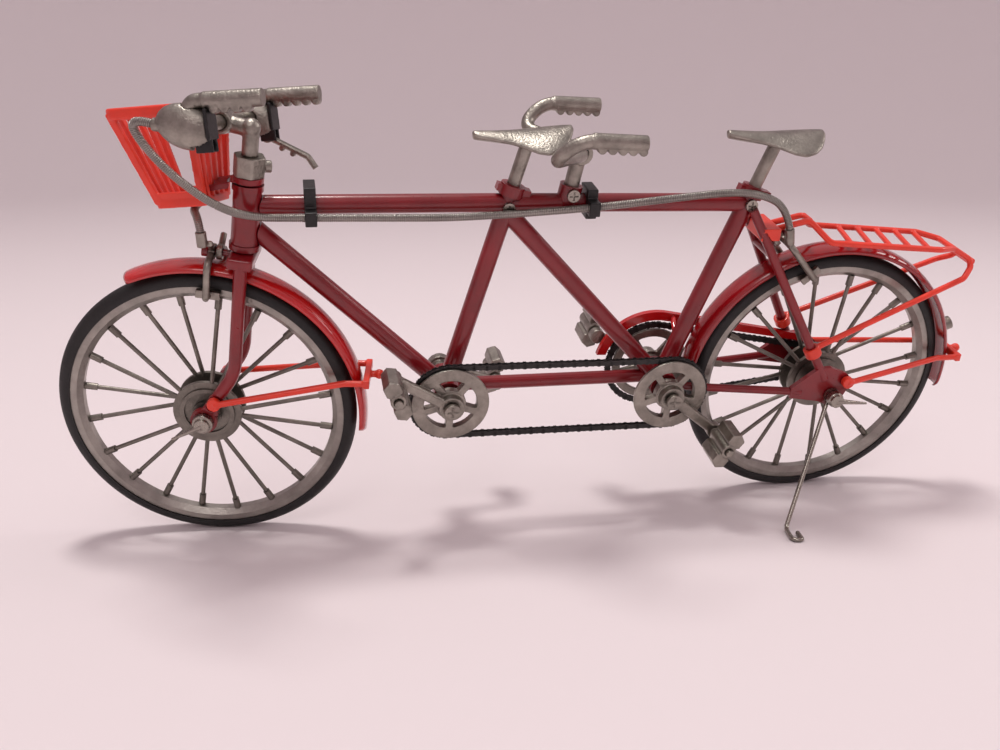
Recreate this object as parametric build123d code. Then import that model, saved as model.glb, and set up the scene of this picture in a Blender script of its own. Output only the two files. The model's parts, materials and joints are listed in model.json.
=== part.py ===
from build123d import *
import os
from math import sin, cos, tan, asin, radians, sqrt

os.makedirs("parts", exist_ok=True)

# Tandem bicycle, scale miniature about a tenth of full size. Millimetres.
# The bicycle is drawn upright with its rear axle at the origin: +X rearwards, -Y its left side.
# At the end it is leaned onto its stand and set down on the floor.

# ---- pose ----
LEAN = 14.1              # lean to the left, onto the stand
FORK_TURN = -9.3         # fork and front wheel, turned right
BAR_TURN = -20.0         # handlebar and basket, turned right
BAR_DIP = -8.65          # handlebar casting sits nose down in its clamp
BAR_ROLL = -9.9          # and a little low on its right
BAR_PIVOT = (-139.0, 0, 60.0)

# ---- wheels ----
WHEELBASE = 151.3
WHEEL_R = 34.0
TYRE_HALF = 2.35
RIM_OUT = WHEEL_R - 2.9
RIM_IN = RIM_OUT - 2.7
RIM_HALF = 2.0
SPOKE_R = 0.5
NIPPLE_R = 0.8
SPOKE_PAIRS = 10
FLANGE_R = 7.8
AXLE_R = 1.0
RUN = 0.07               # radial running clearance
FIT = 0.02
GAP = 0.3
FRONT_HUB = 5.4          # half width over the hub
REAR_HUB = 9.0
FORK_END_IN = 5.75
FORK_END_OUT = 7.05
DROP_IN = 9.3
DROP_OUT = 10.5

# ---- frame ----
HEAD_TILT = 7.1
HEAD_BOTTOM = (-140.6, 0, 39.6)
HEAD_LEN = 14.6
HEAD_R = 3.0
STEERER_R = 1.75
TUBE_R = 2.1
BOTTOM_TUBE_R = 1.65
BB_FRONT = (-96.2, 0, 2.5)
BB_REAR = (-42.1, 0, 1.5)
BB_R = 3.5
BB_HALF = 5.0
SEAT_FRONT_TOP = (-82.1, 0, 52.9)
SEAT_REAR_TOP = (-25.1, 0, 51.4)
CHAINSTAY_R = 1.0
SEATSTAY_R = 1.1
POST_R = 1.5

# ---- drive ----
SPINDLE_R = 1.3
TIMING_Y = -7.6
TIMING_TEETH = 38
DRIVE_Y = 7.6
DRIVE_TEETH = 46
SPROCKET_TEETH = 18
CHAIN_PITCH = 1.5
CHAIN_HALF_T = 0.95
CHAIN_HALF_W = 0.55
CRANK_LEN = 15.8
CRANK_FRONT_DEG = 148.0
CRANK_REAR_DEG = -39.0
CRANK_OPPOSITE = 191.0    # from a left arm to its right arm, pressed on a little out of line

# ---- fenders ----
FENDER_OUT = WHEEL_R + 2.6
FENDER_HALF = 3.6

nodes = {}


def V(p):
    return Vector(*p)


def rod(p, q, r):
    p, q = V(p), V(q)
    return Solid.make_cylinder(r, (q - p).length, Plane(origin=p, z_dir=(q - p).normalized()))


def ydisc(x, z, r, y0, y1):
    return rod((x, y0, z), (x, y1, z), r)


def yring(x, z, ro, ri, y0, y1):
    return ydisc(x, z, ro, y0, y1) - ydisc(x, z, ri, min(y0, y1) - 1, max(y0, y1) + 1)


def block(x0, x1, y0, y1, z0, z1):
    mid = ((x0 + x1) / 2, (y0 + y1) / 2, (z0 + z1) / 2)
    return Pos(*mid) * Box(abs(x1 - x0), abs(y1 - y0), abs(z1 - z0))


def bent(pts, r, limit=None):
    radii = []
    for a, b, c in zip(pts, pts[1:], pts[2:]):
        u, w = V(b) - V(a), V(c) - V(b)
        bend = 0.45 * min(u.length, w.length) / tan(radians(u.get_angle(w)) / 2)
        radii.append(min(bend, limit) if limit else bend)
    path = FilletPolyline(*pts, radius=radii)
    return sweep(Plane(origin=path @ 0, z_dir=path % 0) * Circle(r), path=path)


def fuse(first, *rest):
    for piece in rest:
        first = first + piece
    return first


def main(shape):
    return shape.solids().sort_by(SortBy.VOLUME)[-1]


def lerp(a, b, t):
    return tuple(p + (q - p) * t for p, q in zip(a, b))


# ---- steering axis ----
AXIS_DIR = (sin(radians(HEAD_TILT)), 0, cos(radians(HEAD_TILT)))
HEAD = Plane(origin=HEAD_BOTTOM, x_dir=(cos(radians(HEAD_TILT)), 0, -sin(radians(HEAD_TILT))), z_dir=AXIS_DIR)


def head(s):
    return tuple(h + s * d for h, d in zip(HEAD_BOTTOM, AXIS_DIR))


def turn_fork(shape):
    return shape.rotate(Axis(HEAD_BOTTOM, AXIS_DIR), FORK_TURN)


def turn_bar(shape):
    shape = shape.rotate(Axis(BAR_PIVOT, (0, 1, 0)), BAR_DIP)
    shape = shape.rotate(Axis(BAR_PIVOT, (1, 0, 0)), BAR_ROLL)
    return shape.rotate(Axis(BAR_PIVOT, AXIS_DIR), BAR_TURN)


def bar_point(p):
    moved = turn_bar(Solid.make_sphere(0.1).moved(Location(p)))
    return tuple(moved.center())


def fork_point(p):
    moved = turn_fork(Solid.make_sphere(0.1).moved(Location(p)))
    return tuple(moved.center())


# ================= frame tubes =================
def tube(p, q, r=TUBE_R):
    return rod(p, q, r)


head_solid = rod(head(0), head(HEAD_LEN), HEAD_R)
head_lips = fuse(rod(head(0), head(1.3), HEAD_R + 0.3), rod(head(HEAD_LEN - 1.3), head(HEAD_LEN), HEAD_R + 0.3))
steerer_bore = rod(head(-1), head(HEAD_LEN + 1), STEERER_R + RUN)
nodes["head_tube"] = fuse(head_solid, head_lips) - steerer_bore

seat1_low = BB_FRONT
seat1 = tube(seat1_low, SEAT_FRONT_TOP)
seat2 = tube(BB_REAR, SEAT_REAR_TOP)
bb1_full = ydisc(BB_FRONT[0], BB_FRONT[2], BB_R, -BB_HALF, BB_HALF)
bb2_full = ydisc(BB_REAR[0], BB_REAR[2], BB_R, -BB_HALF, BB_HALF)
top_a = tube((-139.4, 0, 49.35), (-83.1, 0, 48.6))
top_b = tube((-83.1, 0, 48.6), (-25.8, 0, 47.4))
down = tube((-140.0, 0, 45.9), BB_FRONT)
diagonal = tube((-83.7, 0, 46.9), BB_REAR)
bottom = tube((-96.2, 0, 2.9), (-42.1, 0, 2.3), BOTTOM_TUBE_R)

post_dir1 = (V(SEAT_FRONT_TOP) - V(BB_FRONT)).normalized()
post_dir2 = (V(SEAT_REAR_TOP) - V(BB_REAR)).normalized()


def along(top, direction, s):
    return tuple(V(top) + direction * s)


bore1 = rod(along(SEAT_FRONT_TOP, post_dir1, -15), along(SEAT_FRONT_TOP, post_dir1, 1), POST_R + RUN)
bore2 = rod(along(SEAT_REAR_TOP, post_dir2, -15), along(SEAT_REAR_TOP, post_dir2, 1), POST_R + RUN)
head_block = rod(head(-2), head(HEAD_LEN + 2), HEAD_R + 0.3)

top_front = main(top_a - head_block - seat1)
top_rear = main(top_b - seat1 - seat2)
nodes["top_tube_front"] = top_front
nodes["down_tube"] = main(down - head_block - bb1_full - seat1)
nodes["diagonal_tube"] = main(diagonal - seat1 - bb2_full - seat2 - top_b)
nodes["bottom_tube"] = main(bottom - bb1_full - bb2_full - seat1 - seat2 - down - diagonal)


# each seat tube carries its bottom bracket shell and, at its top, a split clamp collar
def seat_collar(top, direction):
    low, high = along(top, direction, -2.6), along(top, direction, -0.1)
    place = Pos(*along(low, direction, 1.25)) * Rot(0, 17, 0)
    ears = place * Pos(3.0, 0, 0) * Box(2.2, 2.6, 2.0) + place * Pos(-2.9, 0, 0) * Box(1.4, 2.2, 1.6)
    return rod(low, high, TUBE_R + 0.7) + ears


for name, centre, top, direction, pipe, shell, bore in (
        ("front", BB_FRONT, SEAT_FRONT_TOP, post_dir1, seat1, bb1_full, bore1),
        ("rear", BB_REAR, SEAT_REAR_TOP, post_dir2, seat2, bb2_full, bore2)):
    collar = seat_collar(top, direction) - top_a - top_b
    hole = ydisc(centre[0], centre[2], SPINDLE_R + RUN, -BB_HALF - 1, BB_HALF + 1)
    nodes[name + "_seat_tube"] = main(fuse(pipe, shell, collar) - hole - bore)
seat2_solid = nodes["rear_seat_tube"]

# stays: bent out round the rear wheel, straight to the dropouts
stay_low = (-2.4, 0, 4.2)
stay_top = (-26.0, 0, 46.6)
STAY_TOP_Y = 3.25
STAY_LOW_Y = 9.95


def stay_point(t, side):
    p = lerp(stay_top, stay_low, t)
    return (p[0], side * (STAY_TOP_Y + (STAY_LOW_Y - STAY_TOP_Y) * t), p[2])


DROP_OUTLINE = [(-11.0, 2.3), (-4.6, 7.4), (-1.2, 7.6), (3.4, 5.6), (5.0, 4.0), (4.6, 1.8),
                (3.0, -1.6), (0.0, -3.3), (-3.2, -1.8), (-11.0, -0.4)]
stay_l = rod(stay_point(0, -1), stay_point(1, -1), SEATSTAY_R)
stay_r = rod(stay_point(0, 1), stay_point(1, 1), SEATSTAY_R)
BRIDGE_T = 0.255
bridge_l, bridge_r = stay_point(BRIDGE_T, -1), stay_point(BRIDGE_T, 1)
bridge_mid = lerp(bridge_l, bridge_r, 0.5)
rear_triangle = rod(bridge_l, bridge_r, 1.0)
for side, seat_stay in ((-1, stay_l), (1, stay_r)):
    chain_path = [(-41.2, side * 3.7, 1.6), (-34.2, side * 5.45, 1.4), (-8.0, side * 9.9, 0.9)]
    plate = extrude(Plane.XZ * make_face(Polyline(*DROP_OUTLINE, close=True)), (DROP_OUT - DROP_IN) / 2, both=True)
    plate = Pos(0, side * (DROP_IN + DROP_OUT) / 2, 0) * plate
    rear_triangle = fuse(rear_triangle, bent(chain_path, CHAINSTAY_R, 12), seat_stay, plate)

# stoker stem lug on the top tube
STOKER_STEM_R = 1.7
STEM_FOOT = (-69.9, 0, 47.2)
STEM_TOP = (-67.6, 0, 59.9)
stem_dir = (V(STEM_TOP) - V(STEM_FOOT)).normalized()
lug_top = along(STEM_FOOT, stem_dir, 5.4)
lug = top_rear + (rod(STEM_FOOT, lug_top, 2.6) - top_b)
nodes["top_tube_rear"] = main(lug - rod(along(STEM_FOOT, stem_dir, 1.0), STEM_TOP, STOKER_STEM_R + RUN))

# screws with a cross slot, seen from the left side
def cross_screw(x, z, y_face, r=1.4, tall=0.9):
    top = y_face - tall
    slot_a = block(x - 0.7 * r, x + 0.7 * r, top - 0.3, top + 0.3, z - 0.2, z + 0.2)
    slot_b = block(x - 0.2, x + 0.2, top - 0.3, top + 0.3, z - 0.7 * r, z + 0.7 * r)
    return ydisc(x, z, r, y_face, top) - slot_a - slot_b


screw_sites = [(-83.4, 48.0, -TUBE_R), (-69.1, 50.9, -2.55), (-26.3, 47.5, -TUBE_R)]
screw_seats = fuse(nodes["top_tube_rear"], nodes["front_seat_tube"], nodes["rear_seat_tube"], stay_l)
nodes["pinch_screws"] = Compound(children=[main(cross_screw(*site) - screw_seats) for site in screw_sites])

# ================= wheels =================
def revolve_y(profile, arc=360):
    return revolve(profile, Axis.Y, arc)


def ring_profile(points):
    return make_face(Polyline(*points, close=True))


tyre_profile = Pos(WHEEL_R - TYRE_HALF, 0) * Circle(TYRE_HALF) - Pos(RIM_OUT / 2, 0) * Rectangle(RIM_OUT, 9)
tyre = revolve_y(tyre_profile)
rim = revolve_y(ring_profile([(RIM_OUT, -RIM_HALF), (RIM_OUT, RIM_HALF), (RIM_IN + 1.2, RIM_HALF), (RIM_IN, 0.9),
                              (RIM_IN, -0.9), (RIM_IN + 1.2, -RIM_HALF)]))


def hub(half):
    body = fuse(ydisc(0, 0, 2.3, -half, half), *spoke_set())
    for side in (-1, 1):
        body = body + ydisc(0, 0, FLANGE_R, side * 1.9, side * 2.9)
        body = body + yring(0, 0, 6.2, 5.2, side * 2.8, side * 3.3)
        body = body + ydisc(0, 0, 3.3, side * 2.8, side * 4.2)
    return body - ydisc(0, 0, AXLE_R + RUN, -half - 1, half + 1)


def spoke_set():
    out = []
    for i in range(SPOKE_PAIRS):
        side = 1 if i % 2 else -1
        for half in (-1, 1):
            a_hub = radians(36 * i + half * 6)
            a_rim = radians(36 * i + half * 9)
            p = (6.8 * cos(a_hub), side * 2.4, 6.8 * sin(a_hub))
            q = ((RIM_IN + 0.4) * cos(a_rim), side * 0.5, (RIM_IN + 0.4) * sin(a_rim))
            spoke = rod(p, q, SPOKE_R) + rod(lerp(p, q, 0.86), q, NIPPLE_R)
            out.append(main(spoke & ydisc(0, 0, RIM_IN, -5, 5)))
    return out


front_centre = (-WHEELBASE, 0, 0)
for name, half, place in (("rear", REAR_HUB, False), ("front", FRONT_HUB, True)):
    pieces = {"tyre": tyre, "rim": rim, "hub": hub(half)}
    for key, solid in pieces.items():
        solid = solid.moved(Location(front_centre)) if place else solid.moved(Location((0, 0, 0)))
        nodes[name + "_" + key] = turn_fork(solid) if place else solid

# ================= axles =================
def lever_piece(x, z, y, tip):
    boss = ydisc(x, z, 1.7, y, y - 0.9)
    cone = Solid.make_cone(0.75, 0.3, (V(tip) - V((x, y - 0.45, z))).length,
                           Plane(origin=(x, y - 0.45, z), z_dir=(V(tip) - V((x, y - 0.45, z))).normalized()))
    return boss + cone


NUT_R = 2.3
rear_axle = fuse(ydisc(0, 0, AXLE_R, -13.6, 12.4), ydisc(0, 0, 2.0, -12.0, -13.6), ydisc(0, 0, NUT_R, DROP_OUT, 12.4))
nodes["rear_axle"] = rear_axle + lever_piece(0, 0, -13.6, (8.3, -14.1, -1.1))
fx, fz = -WHEELBASE, front_centre[2]
front_axle = fuse(ydisc(fx, fz, AXLE_R, -8.7, 8.7), ydisc(fx, fz, NUT_R, -FORK_END_OUT, -8.7),
                  ydisc(fx, fz, NUT_R, FORK_END_OUT, 8.7))
nodes["front_axle"] = turn_fork(front_axle + lever_piece(fx, fz, -8.7, (fx - 7.0, -9.2, fz - 3.6)))

# ================= fenders =================
f, h = FENDER_OUT, FENDER_HALF
fender_profile = ring_profile([(f - 1.9, -h), (f - 1.0, -h), (f, -h + 1.0), (f, h - 1.0), (f - 1.0, h), (f - 1.9, h),
                               (f - 1.9, h - 0.5), (f - 1.2, h - 0.5), (f - 0.55, h - 1.2), (f - 0.55, -h + 1.2),
                               (f - 1.2, -h + 0.5), (f - 1.9, -h + 0.5)])
rear_fender = revolve_y(fender_profile, 182).rotate(Axis.Y, -175)
front_fender = revolve_y(fender_profile, 122).rotate(Axis.Y, -115).moved(Location(front_centre))
nodes["rear_fender"] = rear_fender
nodes["front_fender"] = turn_fork(front_fender)
refl_dir = (cos(radians(20.3)), 0, sin(radians(20.3)))
nodes["tail_reflector"] = rod(tuple(FENDER_OUT * c for c in refl_dir), tuple((FENDER_OUT + 1.7) * c for c in refl_dir), 1.7)


def stay_set(ex, ey, ez, tx, ty, tz, cx):
    out = block(cx - 0.7, cx + 0.7, -ty - 0.7, ty + 0.7, tz - 1.0, tz + 1.0)
    out = out + rod((cx, 0, tz), (cx + 2.4, 0, tz), 0.8)
    out = out + Solid.make_sphere(1.15).moved(Location((cx + 2.6, 0, tz)))
    for side in (-1, 1):
        out = out + bent([(ex, side * ey, ez), (tx, side * ty, tz), (cx, side * ty, tz)], 0.75, 3)
        out = out + ydisc(ex, ez, 1.5, side * (ey - 1.2), side * (ey + 0.4))
    return out


stays_rear = stay_set(3.4, DROP_OUT + 1.22, 3.7, 31.5, 5.0, 5.6, 37.3)
nodes["rear_fender_stays"] = stays_rear
stays_front = stay_set(-148.4, FORK_END_OUT + 1.22, 5.0, -119.5, 5.0, 9.6, -114.6)
nodes["front_fender_stays"] = turn_fork(stays_front)

# ================= fork =================
BLADE_R = 1.45
crown = HEAD * Pos(0, 0, -1.65) * Box(5.6, 12.8, 2.7)
crown = fillet(crown.edges(), 0.8)
steerer = rod(head(-0.6), head(HEAD_LEN - 0.2), STEERER_R) - rod(head(6), head(HEAD_LEN + 1), AXLE_R + RUN)
race = rod(head(-0.6), head(-0.15), 2.4)
fork = fuse(crown, steerer, race)
hub_room = ydisc(fx, fz, 4.0, -FORK_END_IN, FORK_END_IN)
for side in (-1, 1):
    start = tuple(HEAD.from_local_coords((0.2, side * 5.0, -2.0)))
    elbow = tuple(HEAD.from_local_coords((0.4, side * 5.9, -28.0)))
    blade = bent([start, elbow, (fx + 0.6, side * 6.4, fz + 1.8)], BLADE_R, 12)
    end = ydisc(fx, fz, 3.0, side * FORK_END_IN, side * FORK_END_OUT)
    tab = ydisc(-148.4, 5.0, 1.6, side * FORK_END_IN, side * FORK_END_OUT)
    tab = tab + block(-150.3, -148.0, side * FORK_END_IN, side * FORK_END_OUT, 1.5, 5.0)
    fork = fuse(fork, blade - hub_room - stays_front, end, tab)
    fork = fork - ydisc(fx, fz, 3.4, side * FORK_END_OUT, side * 9) - ydisc(
        -148.4, 5.0, 2.2, side * FORK_END_OUT, side * 9)
fork = fork - ydisc(fx, fz, AXLE_R + FIT, -12, 12)

# ================= brakes =================
BOLT_R = 0.8


def caliper_arm(side, drop_out, drop_pad, pad_y, fore, stub):
    # drawn hanging from the origin: -Z is down the arm, +X is away from the frame
    arm = bent([(fore, 0, 0), (fore, side * 5.4, -1.2), (fore, side * 5.4, -drop_out)], 0.8, 2.0)
    arm = arm + rod((fore, side * 5.4, -drop_out), (fore, side * 5.4, -drop_pad), 0.8)
    arm = arm + rod((fore, side * 5.9, -drop_pad), (fore, side * (pad_y + 0.7), -drop_pad), 0.7)
    arm = arm + rod((fore - 0.65, 0, 0), (fore + 0.65, 0, 0), 1.7)
    if stub:
        arm = arm + rod((fore, 0, 0), (fore, side * 3.4, 3.0), 0.7)
    arm = arm + block(fore - 2.6, fore + 2.6, side * pad_y, side * (pad_y + 1.3), -drop_pad - 0.9, -drop_pad + 0.9)
    return arm - rod((fore - 2, 0, 0), (fore + 2, 0, 0), BOLT_R + RUN)


front_pivot = tuple(HEAD.from_local_coords((-4.9, 0, -1.7)))
front_place = Location(front_pivot) * Location((0, 0, 0), (0, HEAD_TILT, 0))
rear_fwd = V((0.75, 0, 0.66)).normalized()
rear_pivot = tuple(V(bridge_mid) + rear_fwd * 2.7)
rear_place = Plane(origin=rear_pivot, x_dir=tuple(rear_fwd), z_dir=(-0.66, 0, 0.75)).location
for end, place, drop, fores in (("front", front_place, 8.9, (-1.75, -0.15)), ("rear", rear_place, 12.3, (2.0, 0.4))):
    for side, name, fore in ((-1, "left", fores[0]), (1, "right", fores[1])):
        arm = caliper_arm(side, drop - 2.5, drop, 2.65, fore, end == "front").moved(place)
        nodes[f"{end}_caliper_{name}"] = main(turn_fork(arm) if end == "front" else arm)
front_bolt = fuse(rod((-3.6, 0, 0), (2.4, 0, 0), BOLT_R), rod((-3.9, 0, 0), (-2.6, 0, 0), 1.4)).moved(front_place)
nodes["fork"] = turn_fork(main(fork + front_bolt))
rear_bolt = fuse(rod((-2.7, 0, 0), (4.0, 0, 0), BOLT_R), rod((2.95, 0, 0), (4.3, 0, 0), 1.4)).moved(rear_place)
rear_triangle = rear_triangle + rear_bolt
nodes["rear_triangle"] = main(rear_triangle - seat2_solid - bore2 - ydisc(0, 0, AXLE_R + FIT, -12, 12))
FRONT_BARREL = [(-148.6, -3.5, 41.0), (-148.75, -3.5, 44.3)]
REAR_BARREL = [(-15.9, -4.3, 38.4), (-16.6, -4.3, 42.2)]
BARREL_R = 1.15
nodes["front_caliper_left"] = main(nodes["front_caliper_left"] + turn_fork(rod(*FRONT_BARREL, BARREL_R)))
nodes["rear_caliper_left"] = main(nodes["rear_caliper_left"] + rod(*REAR_BARREL, BARREL_R))

# ================= chains, guard =================
def belt(c1, r1, c2, r2):
    dx, dz = c2[0] - c1[0], c2[2] - c1[2]
    dist = sqrt(dx * dx + dz * dz)
    ux, uz = dx / dist, dz / dist
    s = (r1 - r2) / dist
    c = sqrt(1 - s * s)
    corners = []
    for sign in (1, -1):
        nx, nz = ux * s - sign * uz * c, uz * s + sign * ux * c
        corners.append(((c1[0] + nx * r1, c1[2] + nz * r1), (c2[0] + nx * r2, c2[2] + nz * r2)))
    quad = make_face(Polyline(corners[0][0], corners[0][1], corners[1][1], corners[1][0], close=True))
    return quad + Pos(c1[0], c1[2]) * Circle(r1) + Pos(c2[0], c2[2]) * Circle(r2)


def loop(c1, r1, c2, r2, half_t, half_w, y):
    flat = belt(c1, r1 + half_t, c2, r2 + half_t) - belt(c1, r1 - half_t, c2, r2 - half_t)
    return Pos(0, y, 0) * extrude(Plane.XZ * flat, half_w, both=True)


def pitch_r(teeth):
    return CHAIN_PITCH / (2 * sin(radians(180 / teeth)))


TIMING_R = pitch_r(TIMING_TEETH)
DRIVE_R = pitch_r(DRIVE_TEETH)
SPROCKET_R = pitch_r(SPROCKET_TEETH)
REAR_AXLE = (0, 0, 0)
nodes["timing_chain"] = loop(BB_FRONT, TIMING_R, BB_REAR, TIMING_R, CHAIN_HALF_T, CHAIN_HALF_W, TIMING_Y)
nodes["drive_chain"] = loop(BB_REAR, DRIVE_R, REAR_AXLE, SPROCKET_R, CHAIN_HALF_T, CHAIN_HALF_W, DRIVE_Y)
GUARD_GAP = 0.6
GUARD_DEEP = 2.3
guard_in = (DRIVE_R + CHAIN_HALF_T + GUARD_GAP, SPROCKET_R + CHAIN_HALF_T + GUARD_GAP)
guard_flat = belt(BB_REAR, guard_in[0] + GUARD_DEEP, REAR_AXLE, guard_in[1] + 1.8) - belt(
    BB_REAR, guard_in[0], REAR_AXLE, guard_in[1])
keep = make_face(Polyline((-62, 5.2), (1.5, 2.4), (1.5, 30), (-62, 30), close=True))
guard_flat = guard_flat & keep
guard = Pos(0, DRIVE_Y, 0) * extrude(Plane.XZ * guard_flat, 0.7, both=True)
guard_arm = bent([(-38.4, 2.0, 12.8), (-38.0, 5.0, 14.0), (-37.4, 7.0, 14.4)], 0.7, 3)
nodes["chain_guard"] = main(guard + (guard_arm - seat2) - nodes["rear_triangle"])

# ================= cranks =================
RING_ARMS = 5
WINDOW_OUT = 6.3
WINDOW_IN = 3.7
ARM_HALF = 0.85


def windows(cx, cz, count, outer):
    # the openings between the arms of a ring
    room = yring(cx, cz, outer, WINDOW_IN, -20, 20)
    for i in range(count):
        spoke = Pos(outer / 2 + 1, 0, 0) * Box(outer, 50, 2 * ARM_HALF)
        room = room - Pos(cx, 0, cz) * Rot(0, 360 / count * i + 20, 0) * spoke
    return room


def crank_arm(cx, cz, deg, y0, y1):
    ex, ez = cx + CRANK_LEN * cos(radians(deg)), cz + CRANK_LEN * sin(radians(deg))
    mid = (y0 + y1) / 2
    bar = rod((cx, mid, cz), (ex, mid, ez), 1.35) & block(cx - 30, cx + 30, y0, y1, cz - 30, cz + 30)
    return fuse(ydisc(cx, cz, 3.0, y0, y1), ydisc(ex, ez, 1.9, y0, y1), bar), (ex, ez)


ARM_IN = 9.05
ARM_OUT = 11.2
PEDAL_AXLE_R = 0.9
TREAD_ACROSS = 3.8
TREAD_OFF = 3.0
PEDAL_TILT = {"front_left": -68, "front_right": 75, "rear_left": 57, "rear_right": 75}


def pedal(px, pz, side, tilt):
    # two six-sided treads either side of a barrel on the axle, joined by a web
    body = ydisc(px, pz, 1.75, side * 12.5, side * 20.7)
    along_x = Pos(px, 0, pz) * Rot(0, -tilt, 0)
    body = body + along_x * Pos(0, side * 16.6, 0) * Box(2 * TREAD_OFF, 5.2, 2.2)
    tread = extrude(Plane.XZ * RegularPolygon(TREAD_ACROSS / 2, 6, major_radius=False), 3.7, both=True)
    for offset in (-TREAD_OFF, TREAD_OFF):
        body = body + along_x * Pos(offset, side * 16.7, 0) * tread
    return body - ydisc(px, pz, PEDAL_AXLE_R + RUN, -30, 30)


for end, centre, deg in (("front", BB_FRONT, CRANK_FRONT_DEG), ("rear", BB_REAR, CRANK_REAR_DEG)):
    cx, cz = centre[0], centre[2]
    left, tip_l = crank_arm(cx, cz, deg, -ARM_OUT, -ARM_IN)
    right, tip_r = crank_arm(cx, cz, deg + CRANK_OPPOSITE, ARM_IN, ARM_OUT)
    disc = fuse(ydisc(cx, cz, TIMING_R - CHAIN_HALF_T - 0.15, -8.2, TIMING_Y + CHAIN_HALF_W),
                ydisc(cx, cz, TIMING_R + 0.1, -9.05, -8.2 - 0.05), ydisc(cx, cz, 8.0, -8.5, -8.0))
    disc = fuse(disc - windows(cx, cz, RING_ARMS, WINDOW_OUT), ydisc(cx, cz, 2.7, -BB_HALF - 0.15, -7.2))
    spindle_bore = ydisc(cx, cz, SPINDLE_R + FIT, -20, 0)
    nodes[end + "_crank_left"] = fuse(left, disc, rod((tip_l[0], -ARM_OUT, tip_l[1]), (tip_l[0], -21.6, tip_l[1]),
                                                      PEDAL_AXLE_R)) - spindle_bore
    right = fuse(right, ydisc(cx, cz, SPINDLE_R, -ARM_OUT - 0.5, ARM_OUT), cross_screw(cx, cz, -ARM_OUT - 0.5, 2.0, 1.1),
                 rod((tip_r[0], ARM_OUT, tip_r[1]), (tip_r[0], 21.6, tip_r[1]), PEDAL_AXLE_R))
    if end == "rear":
        wheel = ydisc(cx, cz, DRIVE_R - CHAIN_HALF_T - 0.15, DRIVE_Y - 0.5, DRIVE_Y + 0.5)
        wheel = wheel - windows(cx, cz, RING_ARMS, WINDOW_OUT + 1.5)
        right = fuse(right, wheel, ydisc(cx, cz, 2.7, BB_HALF + 0.15, 9.2))
    else:
        right = fuse(right, ydisc(cx, cz, 2.2, BB_HALF + 0.15, 9.2))
    nodes[end + "_crank_right"] = right
    for side, name, tip in ((-1, "left", tip_l), (1, "right", tip_r)):
        nodes[f"{end}_pedal_{name}"] = pedal(*tip, side, PEDAL_TILT[f"{end}_{name}"])
nodes["rear_sprocket"] = yring(0, 0, SPROCKET_R - CHAIN_HALF_T - 0.05, 2.3, DRIVE_Y - 0.5, DRIVE_Y + 0.5)

# ================= seats =================
def saddle(nose_x, length, z_low, thick):
    k = length / 23.0
    outline = [(0, 0), (0.5, 1.2), (5, 2.2), (10, 3.7), (14.5, 6.9), (17.2, 7.9), (19.8, 6.8), (22.4, 3.2), (23, 0)]
    top = [(nose_x + x * k, y) for x, y in outline]
    low = [(nose_x + x * k, -y) for x, y in reversed(outline[1:-1])]
    flat = make_face(Spline(*(top + low), periodic=True))
    body = extrude(Pos(0, 0, z_low) * flat, thick)
    return fillet(body.edges(), 0.9)


saddle1 = saddle(-92.2, 22.6, 62.7, 2.7)
saddle2 = saddle(-34.6, 24.6, 61.5, 2.9)
for name, top, direction, seat, length in (("front", SEAT_FRONT_TOP, post_dir1, saddle1, 11.6),
                                           ("rear", SEAT_REAR_TOP, post_dir2, saddle2, 12.4)):
    nodes[name + "_saddle"] = seat
    post = rod(along(top, direction, -10.5), along(top, direction, length), POST_R)
    nodes[name + "_seat_post"] = post - seat

# ================= handlebars =================
BAR_R = 1.5
GRIP_R = 1.7
STOKER_ROLL = -2.6       # the stoker's bar sits a little low on its right
TEETH = 5


def handlebar(half_pts, grip_back, grip_front):
    right = [(x, -y, z) for x, y, z in reversed(half_pts)]
    bar = bent(half_pts + right, BAR_R)
    for side in (-1, 1):
        a = (grip_back[0], side * grip_back[1], grip_back[2])
        b = (grip_front[0], side * grip_front[1], grip_front[2])
        bar = bar + rod(a, b, GRIP_R)
        for i in range(TEETH):
            c = lerp(a, b, 0.08 + 0.19 * i)
            bar = bar + rod((c[0], c[1] - 1.1, c[2] - 1.6), (c[0], c[1] + 1.1, c[2] - 1.6), 0.9)
    return bar


front_half = [(-127.0, -17.1, 71.2), (-141.8, -17.1, 71.5), (-142.6, -16.6, 67.0)]
front_bar_flat = handlebar(front_half, (-127.0, 17.1, 71.2), (-138.6, 17.1, 71.44))
front_bar = turn_bar(front_bar_flat)
nodes["front_handlebar"] = front_bar
stoker_half = [(-58.6, -17.6, 66.1), (-72.4, -17.2, 66.8), (-77.6, -15.2, 61.9), (-67.6, -2.6, 59.9)]
stoker_bar = handlebar(stoker_half, (-58.6, 17.6, 66.1), (-70.0, 17.27, 66.68))
stoker_bar = stoker_bar.rotate(Axis(STEM_TOP, (1, 0, 0)), STOKER_ROLL)
nodes["stoker_handlebar"] = stoker_bar

QUILL_TOP = 27.0
stem_clamp_c = bar_point((-142.6, 0, 67.0))
stem_clamp_a, stem_clamp_b = bar_point((-142.6, -2.2, 67.0)), bar_point((-142.6, 2.2, 67.0))
quill = rod(head(20.6), head(QUILL_TOP), 1.7)
pin = rod(head(7.2), head(20.7), AXLE_R)
neck = rod(head(QUILL_TOP - 0.9), stem_clamp_c, 1.75)
knob = Solid.make_sphere(1.95).moved(Location(head(QUILL_TOP - 0.6)))
bar_cut = rod(bar_point((-142.6, -9, 67.0)), bar_point((-142.6, 9, 67.0)), BAR_R)
nodes["front_stem"] = fuse(quill, pin, neck, knob, rod(stem_clamp_a, stem_clamp_b, 2.4)) - bar_cut
hexagon = extrude(Plane(origin=head(16.3), z_dir=AXIS_DIR) * RegularPolygon(3.5, 6), 4.3)
hexagon = chamfer(hexagon.edges().filter_by(GeomType.LINE).group_by(SortBy.LENGTH)[-1], 0.3)
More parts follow.
